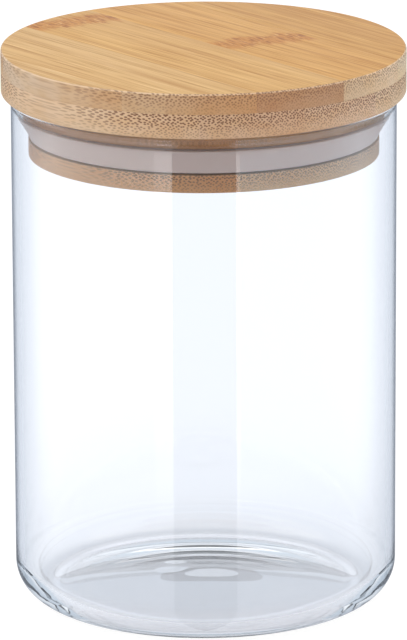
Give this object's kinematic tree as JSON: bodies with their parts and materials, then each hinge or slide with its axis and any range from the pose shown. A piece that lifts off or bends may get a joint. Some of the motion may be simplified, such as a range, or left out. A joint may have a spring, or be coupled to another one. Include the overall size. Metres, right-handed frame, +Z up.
{
  "type": "lidded glass canister",
  "caption": "Round clear glass storage jar with a laminated bamboo plug lid and a flared silicone sealing ring.",
  "frame": {"origin": "centre of the jar's foot, on the surface it stands on", "axes": "+Z up along the axis of jar and lid, +X to the right, +Y to the back"},
  "size_m": [0.105, 0.105, 0.147],
  "materials": {
    "clear_glass": "clear polished borosilicate glass",
    "silicone": "translucent satin silicone",
    "bamboo": "caramelised laminated bamboo, sanded and oiled"
  },
  "bodies": {
    "jar": {"glass_jar": "clear_glass"},
    "seal": {"silicone_seal": "silicone"},
    "lid": {"lower_ply_strip_1": "bamboo", "lower_ply_strip_2": "bamboo", "lower_ply_strip_3": "bamboo", "lower_ply_strip_4": "bamboo", "lower_ply_strip_5": "bamboo", "plug_lower_strip_1": "bamboo", "plug_lower_strip_2": "bamboo", "plug_lower_strip_3": "bamboo", "plug_lower_strip_4": "bamboo", "plug_middle_strip_1": "bamboo", "plug_middle_strip_2": "bamboo", "plug_middle_strip_3": "bamboo", "plug_middle_strip_4": "bamboo", "plug_upper_strip_1": "bamboo", "plug_upper_strip_2": "bamboo", "plug_upper_strip_3": "bamboo", "plug_upper_strip_4": "bamboo", "top_ply_strip_1": "bamboo", "top_ply_strip_2": "bamboo", "top_ply_strip_3": "bamboo", "top_ply_strip_4": "bamboo", "top_ply_strip_5": "bamboo"}
  },
  "joints": [
    {"name": "lid_lift", "type": "slide", "parent": "jar", "child": "seal", "axis": [0, 0, 1], "range_m": [0, 0.12]},
    {"name": "lid_turn", "type": "hinge", "parent": "seal", "child": "lid", "pos_m": [0, 0, 0.135], "axis": [0, 0, 1], "continuous": true}
  ]
}
